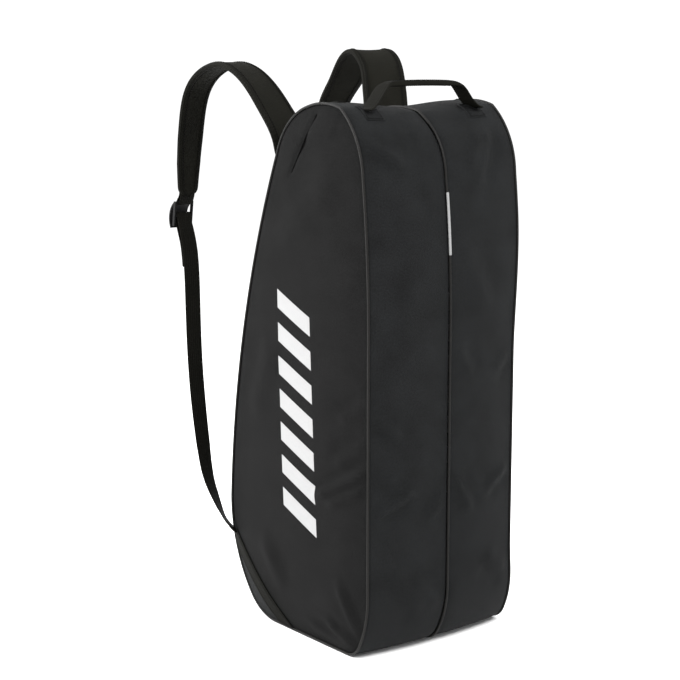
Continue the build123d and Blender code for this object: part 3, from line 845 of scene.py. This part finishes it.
def add_zips():
    """Tape and teeth on the body and on the flap, which mesh at rest and would part if the flap opened."""
    long_s = rows_between(S_ZIP_LOW + 0.5, S_ZIP_TOP - 0.5, 5.0)
    tooth_s = np.arange(S_ZIP_LOW + 2, S_ZIP_TOP - 2, TOOTH_PITCH)
    for kind, x, shift, tooth_x, cord_x, hem_x in ZIP_HALVES:
        outer, inner, rest, out = patch_on(long_s, x, -3.2, -4.2, 5)
        s = tooth_s + shift
        normal = ring_normal(s)
        teeth = beads(lift(ring(s, 2.2, -tooth_x)), np.tile((1.0, 0, 0), (len(s), 1)),
                      np.cross(normal, (1.0, 0, 0)), normal, TOOTH_SIZE * MM)
        cord = tube(lift(ring(long_s, 2.7, -cord_x)), 0.9 * MM, 6)
        sewn = stitches(lift(ring(long_s, 0.2, -hem_x)), ring_normal(long_s))
        for side, sign in SIDES.items():
            go = {"body": "bag"} if kind == "body" else {"bend": flap_bend(side)}
            tape = side_shell(side + "_tape_" + kind, sign, outer, inner, rest, out)
            piece(tape, "zip_tape", TAPE_CLOTH, stands_for=[side + "_zip_tape_" + kind], **go)
            row = joined(side + "_teeth_" + kind, on_side(side, teeth, cord))
            piece(row, "zip_coil", COIL, stands_for=[side + "_zip_coil_" + kind], **go)
            piece(joined(side + "_hem_" + kind, on_side(side, sewn)), "gusset_cloth", THREAD, **go)


def add_patches(name, node_name, s, x, thick, mats, slot, margin=2.2, cols=8):
    """A pair of sewn patches that mirror each other, with their stitches."""
    outer, inner, rest, out = patch_on(s, x, thick, -0.4, cols)
    sewn = frame_stitches(s, x, thick, margin)
    for side, sign in SIDES.items():
        patch = subdivided(side_shell(name + "_" + side, sign, outer, inner, rest, out))
        piece(patch, slot, mats, "bag", stands_for=[node_name.format(side=side)])
    piece(joined(name + "_stitching", sewn + [flipped(part) for part in sewn]), slot, THREAD, "bag")


add_zips()
tab_s = rows_between(S_ZIP_TOP + 0.6, S_ZIP_TOP + 16, 2.5)
add_patches("zip_end_tab", "zip_end_tabs", tab_s, (98, 114), 1.4, WEBBING_CLOTH, "webbing")
stop_s = rows_between(S_ZIP_LOW - 18, S_ZIP_LOW - 4.5, 2.5)
add_patches("zip_low_stop", "zip_low_stops", stop_s, (98, 114), 1.5, WEBBING_CLOTH, "webbing")
handle_s = rows_between(s_near(68, 746), s_near(43, 728), 3.0)
add_patches("handle_patch", "handle_patches", handle_s, (72, 102), 1.2, GUSSET_CLOTH, "webbing", 3.0, 12)
root_s = rows_between(s_near(236, 600), s_near(213, 660), 3.0)
add_patches("strap_root_patch", "{side}_strap_root_patch", root_s, (12, 84), 1.6, GUSSET_CLOTH,
            "gusset_cloth", 3.0, 20)


# ---- Straps and webbing ----
def spline(points, count):
    """Evenly spaced points of a smooth curve through some points, in mm."""
    points = np.array(points, float)
    t = travelled(points)
    n, h = len(points), np.diff(t)
    rows, right = np.eye(n), np.zeros((n, 3))
    for i in range(1, n - 1):
        rows[i, i - 1:i + 2] = h[i - 1], 2 * (h[i - 1] + h[i]), h[i]
        right[i] = 6 * ((points[i + 1] - points[i]) / h[i] - (points[i] - points[i - 1]) / h[i - 1])
    bend = np.linalg.solve(rows, right)

    def curve(at):
        k = np.clip(np.searchsorted(t, at, side="right") - 1, 0, n - 2)
        a, b, w = (t[k + 1] - at)[:, None], (at - t[k])[:, None], h[k][:, None]
        return ((bend[k] * a ** 3 + bend[k + 1] * b ** 3) / (6 * w)
                + (points[k] / w - bend[k] * w / 6) * a + (points[k + 1] / w - bend[k + 1] * w / 6) * b)
    dense = curve(np.linspace(0, t[-1], 800))
    along = travelled(dense)
    even = np.linspace(0, along[-1], count)
    return np.stack([np.interp(even, along, dense[:, k]) for k in range(3)], 1), even


def flat_band(path, side):
    """Unit vectors along, across and out of a flat band that follows a path, its width lying near side."""
    along = unit(np.gradient(path, axis=0))
    across = unit(side - along * (along * side).sum(1)[:, None])
    return along, across, np.cross(along, across)


def place_mm(points):
    """mm from the front and the base to metres, without the crown's dip."""
    return np.asarray(points, float) * MM + (0, FRONT_Y, 0)


def band_grid(path, across, out, half, w, height):
    """A grid across a band, in metres: at the shares w of its half width and at a height along its normal."""
    wide = (half[:, None] * w)[..., None]
    high = np.broadcast_to(height, wide.shape[:2])[..., None]
    return place_mm(path[:, None] + across[:, None] * wide + out[:, None] * high)


WEBBING_WIDTH = 25.0


def webbing(name, route, width, thick, count, side=(1.0, 0, 0)):
    """A flat run of webbing along a route, with slightly rounded edges. Its width lies near side."""
    path, reach = spline(route, count)
    _, across, out = flat_band(path, np.broadcast_to(side, (count, 3)))
    half = np.full(count, width / 2)
    w = np.linspace(-1, 1, 7)
    high = thick / 2 + 0.25 * (1 - w ** 4)
    grids = [band_grid(path, across, out, half, w, way * high) for way in (1, -1)]
    return subdivided(shell(name, *grids, on_cloth(w * width / 2, reach[:, None]), out[:, None]))


PADS = {
    "left": ([(-73, 238, 676), (-86, 236, 700), (-96, 252, 733), (-105, 282, 771), (-113, 329, 796),
              (-119, 376, 789), (-123, 410, 762), (-127, 425, 706), (-129, 431, 650), (-130, 433, 603)],
             12.0),
    "right": ([(76, 244, 676), (90, 243, 704), (104, 258, 764), (110, 275, 797), (114, 305, 814),
               (118, 338, 805), (123, 376, 770), (126, 407, 738), (129, 426, 690), (130, 433, 603)], -34.0),
}
PAD_HALF = (33.0, 32.0, 29.0, 25.0, 22.0, 15.5)
ROOT_ROUTE = [(46, 231.5, 628), (53, 232, 645), (62, 235, 661)]
PAD_THICK, PAD_EDGE, PAD_CORNER, BINDING = 7.5, 3.2, 13.0, 8.0


def add_pad(side, sign):
    """A shoulder pad from its root on the back to its rounded end: two faces of cloth over foam, swollen."""
    route, twist = PADS[side]
    root = [(sign * x, y, z) for x, y, z in ROOT_ROUTE]
    path, reach = spline(root + route, 150)
    lead = np.linalg.norm(path - np.array(route[0]), axis=1).argmin()
    t = np.clip((reach - reach[lead]) / (reach[-1] - reach[lead]), 0, 1)
    grown_in = np.clip(reach / reach[lead], 0, 1)
    turn = np.radians(twist) * np.sin(math.pi * np.minimum(1, t + 0.12)) ** 0.6 * grown_in
    _, across, out = flat_band(path, np.stack([np.cos(turn), np.sin(turn), 0 * turn], 1))
    left = reach[-1] - reach
    half = np.interp(t, np.linspace(0, 1, len(PAD_HALF)), PAD_HALF) - 3 * (1 - grown_in)
    near = np.clip(PAD_CORNER - left, 0, PAD_CORNER)
    half = half - PAD_CORNER + np.sqrt(PAD_CORNER ** 2 - near ** 2) + 0.01
    full = PAD_THICK - 2.5 * np.exp(-reach / 18)
    w = np.linspace(-1, 1, 17)
    swollen = np.clip((1 - np.abs(w)) * half[:, None] / 9, 0, 1) ** 0.5
    deep = (PAD_EDGE + (full[:, None] - PAD_EDGE) * swollen) / 2
    grids = [band_grid(path, across, out, half, w, way * deep) for way in (1, -1)]
    rest = on_cloth(half[:, None] * w, reach[:, None])
    grown = [swell(side + "_pad", grid, way * out[:, None], 9.0, 1.6, held=2)
             for grid, way in zip(grids, (1, -1))]
    pad = shell(side + "_pad", *grown, rest, out[:, None])
    bend = ("bag", side + "_strap", place_mm((sign * 52, 232, 645)), place_mm((sign * 78, 256, 690)))
    stands = [side + "_shoulder_pad", side + "_strap_root_tab"]
    piece(subdivided(pad), "pad_cloth", PAD_CLOTH, bend=bend, stands_for=stands, fill=0.7)
    return path, across, out, half, deep, reach, bend


def add_binding(side, made):
    """The webbing that is folded over both edges of a pad, as one U-shaped run each, with its stitches."""
    path, across, out, half, deep, reach, bend = made
    edge = deep[:, 0]
    parts, sewn = [], []
    for way in (-1, 1):
        layers = []
        for grow in (0.9, 0.0):
            rows = []
            for back, rise in ((BINDING, 1), (BINDING * 0.6, 1), (2.5, 1), (0, 0.75), (0, -0.75), (2.5, -1),
                               (BINDING * 0.6, -1), (BINDING, -1)):
                share = np.clip(1 - back / half, 0, 1)
                slope = np.clip((1 - share) * half / 9, 0, 1) ** 0.5
                thick = (deep.max(1) - edge) * slope + edge
                rows.append(path + across * (way * (half * share + grow * (back < 3)))[:, None]
                            + out * (rise * (thick + grow))[:, None])
            layers.append(place_mm(np.stack(rows, 1)))
        rest = on_cloth(np.linspace(0, 20, 8), reach[:, None])
        normal = np.broadcast_to(across[:, None] * way, layers[0].shape)
        parts.append(shell_part(*layers, rest, normal))
        for column, rise in ((0, 1), (7, -1)):
            line = layers[0][4:-4, column] + way * across[4:-4] * 1.2 * MM + rise * out[4:-4] * 0.1 * MM
            sewn.append(stitches(line, rise * out[4:-4]))
    piece(subdivided(joined(side + "_pad_binding", parts)), "webbing", WEBBING_CLOTH, bend=bend)
    piece(joined(side + "_pad_stitching", sewn), "webbing", THREAD, bend=bend)


for side, sign in SIDES.items():
    add_binding(side, add_pad(side, sign))


LOWER_ROUTE = [(320, 117), (332, 122), (347, 131), (364, 150), (383, 177), (397, 221), (415, 326), (420, 387),
               (422, 448), (427.6, 523), (437, 556), (441.2, 568), (442.4, 574), (446, 578), (449.6, 574),
               (447.6, 564), (441.6, 550), (434.2, 533), (429.6, 512), (428, 498)]
LOOP_ROUTE = [(433.2, 612), (433.8, 603), (437.4, 595.5), (441.6, 590.6), (445.8, 592.4), (444.4, 597),
              (440, 602), (437.4, 607), (436.8, 612)]
FOOT_ROUTE = [(129, 309, 112), (131, 317, 115.6), (131, 325, 119.2)]
# The way the lower strap's width lies, at heights up to the lock
TURN_Z = [124, 129, 141, 163, 191, 234, 300, 520, 560]
TURN = np.array([(0.61, 0.79, -0.17), (0.61, 0.79, -0.17), (0.75, 0.66, -0.1), (0.88, 0.47, -0.05),
                 (0.97, 0.24, 0), (1, 0, 0), (0.99, -0.12, 0), (0.98, -0.18, 0), (1, 0, 0)])


def add_lower_strap(side, sign):
    """The webbing from the heel up to the lock, round its bar and down again as a free tail."""
    route = [(sign * 131, y, z) for y, z in LOWER_ROUTE]
    path, _ = spline(route, 220)
    lean = np.stack([np.interp(path[:, 2], TURN_Z, TURN[:, k]) for k in range(3)], 1) * (-sign, 1, 1)
    run = webbing(side + "_lower_strap", route, WEBBING_WIDTH, 1.9, 220, lean)
    bend = ("bag", side + "_strap", (0, FRONT_Y + 0.326, 0.112), (0, FRONT_Y + 0.350, 0.137))
    piece(run, "webbing", WEBBING_CLOTH, bend=bend,
          stands_for=[side + "_strap_webbing", side + "_webbing_tail"])
    top = webbing(side + "_lock_loop", [(sign * 130, y, z) for y, z in LOOP_ROUTE], WEBBING_WIDTH, 1.6, 60)
    bend = (side + "_strap", side + "_lock", (0, 0, 0.602), (0, 0, 0.594))
    piece(top, "webbing", WEBBING_CLOTH, bend=bend, stands_for=[side + "_pad_end_loop"])


for side, sign in SIDES.items():
    add_lower_strap(side, sign)
    lean = np.tile(TURN[0] * (-sign, 1, 1), (14, 1))
    foot = webbing("strap_foot_" + side, [(sign * x, y, z) for x, y, z in FOOT_ROUTE], 25.4, 2.6, 14, lean)
    piece(foot, "webbing", WEBBING_CLOTH, "bag", stands_for=["strap_foot_tabs"])


# ---- Grab handle: webbing that stands up from the crown and is folded and sewn into a grip ----
HANDLE_Y, HANDLE_ROWS, HANDLE_SIDES = 55, 120, 20
FOOT_HALF, GRIP_HALF = 14.0, 7.4
FOOT_DEEP, GRIP_DEEP = 1.5, 3.9
HANDLE_HALF = [(-97, 740), (-91, 741.5), (-83, 747), (-75, 756), (-68, 765), (-61, 771), (-50, 773.2),
               (-24, 774)]
HANDLE_ROUTE = HANDLE_HALF + [(0, 774.2)] + [(-x, z) for x, z in HANDLE_HALF[::-1]]


def add_handle():
    path, reach = spline([(x, HANDLE_Y, z) for x, z in HANDLE_ROUTE], HANDLE_ROWS)
    along, across, out = flat_band(path, np.tile((0, 1.0, 0), (HANDLE_ROWS, 1)))
    folded = 1 / (1 + np.exp((np.abs(path[:, 0]) - 60) / 2.6))
    foot = np.clip((np.abs(path[:, 0]) - 80) / 12, 0, 1)
    half = FOOT_HALF + (GRIP_HALF - FOOT_HALF) * folded + foot
    deep = FOOT_DEEP + (GRIP_DEEP - FOOT_DEEP) * folded
    angles = np.linspace(0, 2 * math.pi, HANDLE_SIDES, endpoint=False)
    round_w, round_h = (np.sign(way) * np.abs(way) ** 0.55 for way in (np.cos(angles), np.sin(angles)))
    verts = (path[:, None] + across[:, None] * (half[:, None] * round_w)[..., None]
             + out[:, None] * (deep[:, None] * round_h)[..., None])
    faces = grid_faces(HANDLE_ROWS, HANDLE_SIDES, closed_cols=True)
    if (np.cross(across, out) * along).sum() > 0:
        faces = faces[:, ::-1]
    last = (HANDLE_ROWS - 1) * HANDLE_SIDES
    faces = faces.tolist() + [list(range(HANDLE_SIDES)), list(range(last, last + HANDLE_SIDES))[::-1]]
    rest = on_cloth(round_w * 12, reach[:, None])
    loop = new_mesh("grab_loop", place_mm(verts).reshape(-1, 3), faces, rest)
    bend = ("bag", "grab_handle", (0, 0, 0.742), (0, 0, 0.760))
    piece(subdivided(loop), "webbing", WEBBING_CLOTH, bend=bend, stands_for=["handle_webbing", "handle_grip"])
    inner = np.abs(path[:, 0]) < 51
    sewn = []
    for way in (-4.6, 4.6):
        for face in (1, -1):
            line = path[inner] + across[inner] * way + out[inner] * (face * deep[inner] * 0.97)[:, None]
            sewn.append(stitches(place_mm(line), face * out[inner]))
    piece(joined("grab_stitching", sewn), "webbing", THREAD, "grab_handle")


add_handle()


# ---- Inside: the padded divider and the base board ----
def add_divider():
    flat = panel_grid(4.5, 64, 26)
    depth = from_edge(flat) - 4.5
    quilt = 0.9 * np.abs(np.sin(flat[..., 1] / 90 * math.pi)) ** 0.5 * (1 - np.exp(-depth / 10))
    flat = flat.copy()
    over_board = (flat[..., 0] > 38) & (flat[..., 0] < 210)
    flat[..., 1] = np.where(over_board, np.maximum(flat[..., 1], 7.2), flat[..., 1])
    grids = [lift(np.concatenate([(way * (1.8 + quilt))[..., None], flat], -1)) for way in (-1, 1)]
    wall = shell("padded_divider", *grids, on_cloth(flat[..., 0], flat[..., 1]), (-1, 0, 0))
    piece(subdivided(wall), "lining_foam", LINING, "bag", stands_for=["centre_divider"], fill=0.3)


add_divider()


def dress(node_name, mat, bevel):
    """A CAD node that stays: its material and its softened edges."""
    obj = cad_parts[node_name]
    obj.data.materials.clear()
    obj.data.materials.append(mat)
    step = obj.modifiers.new("Bevel", "BEVEL")
    step.width, step.segments, step.limit_method = bevel * MM, 2, "ANGLE"
    step.harden_normals = True
    obj.data.polygons.foreach_set("use_smooth", [True] * len(obj.data.polygons))


dress("base_board", BOARD, 0.8)
for side in SIDES:
    dress(side + "_zip_slider", METAL, 0.35)
    dress(side + "_zip_puller", METAL, 0.35)
    dress(side + "_ladder_lock", BUCKLE, 0.6)


# ---- Floor, light and camera ----
FLOOR_HALF, FLOOR_CELLS, FLOOR_DROP = 6.0, 40, 0.0006


def add_stage():
    lines = np.linspace(-FLOOR_HALF, FLOOR_HALF, FLOOR_CELLS + 1)
    x, y = np.meshgrid(lines, lines, indexing="ij")
    verts = np.stack([x, y, 0 * x - FLOOR_DROP], -1).reshape(-1, 3)
    floor = new_mesh("floor", verts, grid_faces(*x.shape)[:, ::-1].tolist(), verts)
    mat, tree, shader = material("floor_paper", specular_ior_level=0.2)
    place = node(tree, "TexCoord").outputs["Object"]
    tree.links.new(mixed(tree, noise(tree, place, 3, 4), grey(0.88), grey(0.92)), shader.inputs["Base Color"])
    sheer = node(tree, "MapRange", {0: noise(tree, place, 40, 4), 3: 0.75, 4: 0.9}).outputs[0]
    tree.links.new(sheer, shader.inputs["Roughness"])
    floor.data.materials.append(mat)


def add_light(name, place, target, power, size):
    lamp = bpy.data.lights.new(name, "AREA")
    lamp.energy, lamp.size = power, size
    obj = bpy.data.objects.new(name, lamp)
    obj.location = place
    obj.rotation_euler = (Vector(target) - Vector(place)).to_track_quat("-Z", "Y").to_euler()
    bpy.context.scene.collection.objects.link(obj)


CAMERA_AT = (-1.4546, -1.6522 + FRONT_Y, 0.8142)
CAMERA_AXES = (0.7912, -0.6115, 0), (0.1050, 0.1359, 0.9851), (-0.6024, -0.7795, 0.1718)
SENSOR, FOCAL_LENGTH = 36.0, 87.3211765


def add_camera():
    lens = bpy.data.cameras.new("camera")
    lens.sensor_width, lens.lens = SENSOR, FOCAL_LENGTH
    lens.clip_end = 50
    obj = bpy.data.objects.new("camera", lens)
    bpy.context.scene.collection.objects.link(obj)
    obj.matrix_world = Matrix.Translation(CAMERA_AT) @ Matrix(CAMERA_AXES).transposed().to_4x4()
    bpy.context.scene.camera = obj


add_stage()
world = bpy.data.worlds.new("studio")
world.use_nodes = True
world.node_tree.nodes["Background"].inputs[0].default_value = (1, 1, 1, 1)
world.node_tree.nodes["Background"].inputs[1].default_value = 1.1
bpy.context.scene.world = world
bpy.context.scene.view_settings.view_transform = "Standard"
add_light("key", (-2.6, 2.0, 2.2), (0, 0, 0.45), 330, 1.8)
add_light("fill", (0.1, -1.7, 2.7), (0, 0, 0.5), 130, 1.5)
add_camera()
